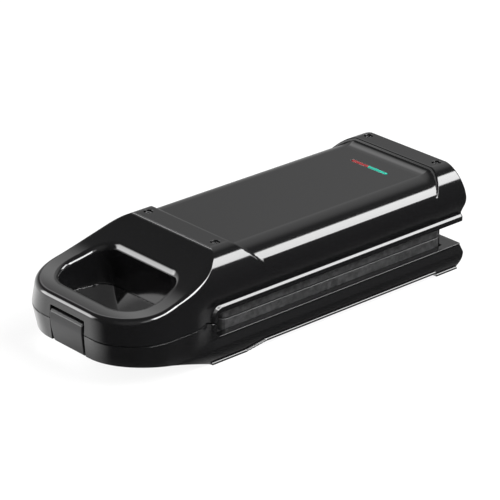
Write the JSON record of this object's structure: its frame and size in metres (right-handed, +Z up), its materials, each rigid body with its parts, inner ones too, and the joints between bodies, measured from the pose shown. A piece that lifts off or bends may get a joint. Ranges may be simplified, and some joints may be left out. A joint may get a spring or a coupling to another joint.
{
  "type": "churro maker",
  "caption": "Long hinged countertop churro iron: glossy moulded housings with a loop handle and front latch round cast plates with ribbed star grooves.",
  "frame": {"origin": "middle of the outline, on the surface that the feet stand on", "axes": "+Z up; -Y towards the loop handle and the latch, +Y towards the hinge; +X to the right as seen from the handle"},
  "size_m": [0.148, 0.3754, 0.0937],
  "materials": {
    "housing": "glossy black moulded plastic",
    "latch": "satin black moulded plastic",
    "frame": "matt heat-resistant plastic",
    "plate": "cast, with a dark non-stick coat",
    "heater": "annealed sheath",
    "sheet": "rolled sheet",
    "steel": "turned",
    "dark_screw": "blackened",
    "ceramic": "unglazed",
    "rubber": "matt",
    "red_lens": "clear red",
    "green_lens": "clear green",
    "lamp": "clear"
  },
  "bodies": {
    "base": {"lower_housing": "housing", "lower_frame": "frame", "lower_baking_plate": "plate", "lower_heater": "heater", "lower_heat_shield": "sheet", "thermal_fuse": "ceramic", "terminal_block": "ceramic", "inlet_gland": "rubber", "hinge_pin": "steel", "foot_front_left": "rubber", "foot_front_right": "rubber", "foot_rear_left": "rubber", "foot_rear_right": "rubber", "base_screw_front_left": "dark_screw", "base_screw_front_right": "dark_screw", "base_screw_rear_left": "dark_screw", "base_screw_rear_right": "dark_screw", "lower_plate_screw_front_left": "steel", "lower_plate_screw_front_right": "steel", "lower_plate_screw_rear_left": "steel", "lower_plate_screw_rear_right": "steel"},
    "lid": {"upper_housing": "housing", "upper_frame": "frame", "upper_baking_plate": "plate", "upper_heater": "heater", "upper_heat_shield": "sheet", "thermostat": "ceramic", "latch_pin": "steel", "red_lens": "red_lens", "green_lens": "green_lens", "lamp_holder": "frame", "red_lamp": "lamp", "green_lamp": "lamp", "lid_screw_front_left": "dark_screw", "lid_screw_front_right": "dark_screw", "lid_screw_rear_left": "dark_screw", "lid_screw_rear_right": "dark_screw", "upper_plate_screw_front_left": "steel", "upper_plate_screw_front_right": "steel", "upper_plate_screw_rear_left": "steel", "upper_plate_screw_rear_right": "steel"},
    "latch": {"latch": "latch"}
  },
  "joints": [
    {"name": "lid_hinge", "type": "hinge", "parent": "base", "child": "lid", "pos_m": [0, 0.18155, 0.036], "axis": [-1, 0, 0], "range_deg": [0, 100]},
    {"name": "latch_pivot", "type": "hinge", "parent": "lid", "child": "latch", "pos_m": [0, -0.18315, 0.0482], "axis": [-1, 0, 0], "range_deg": [0, 40]}
  ]
}
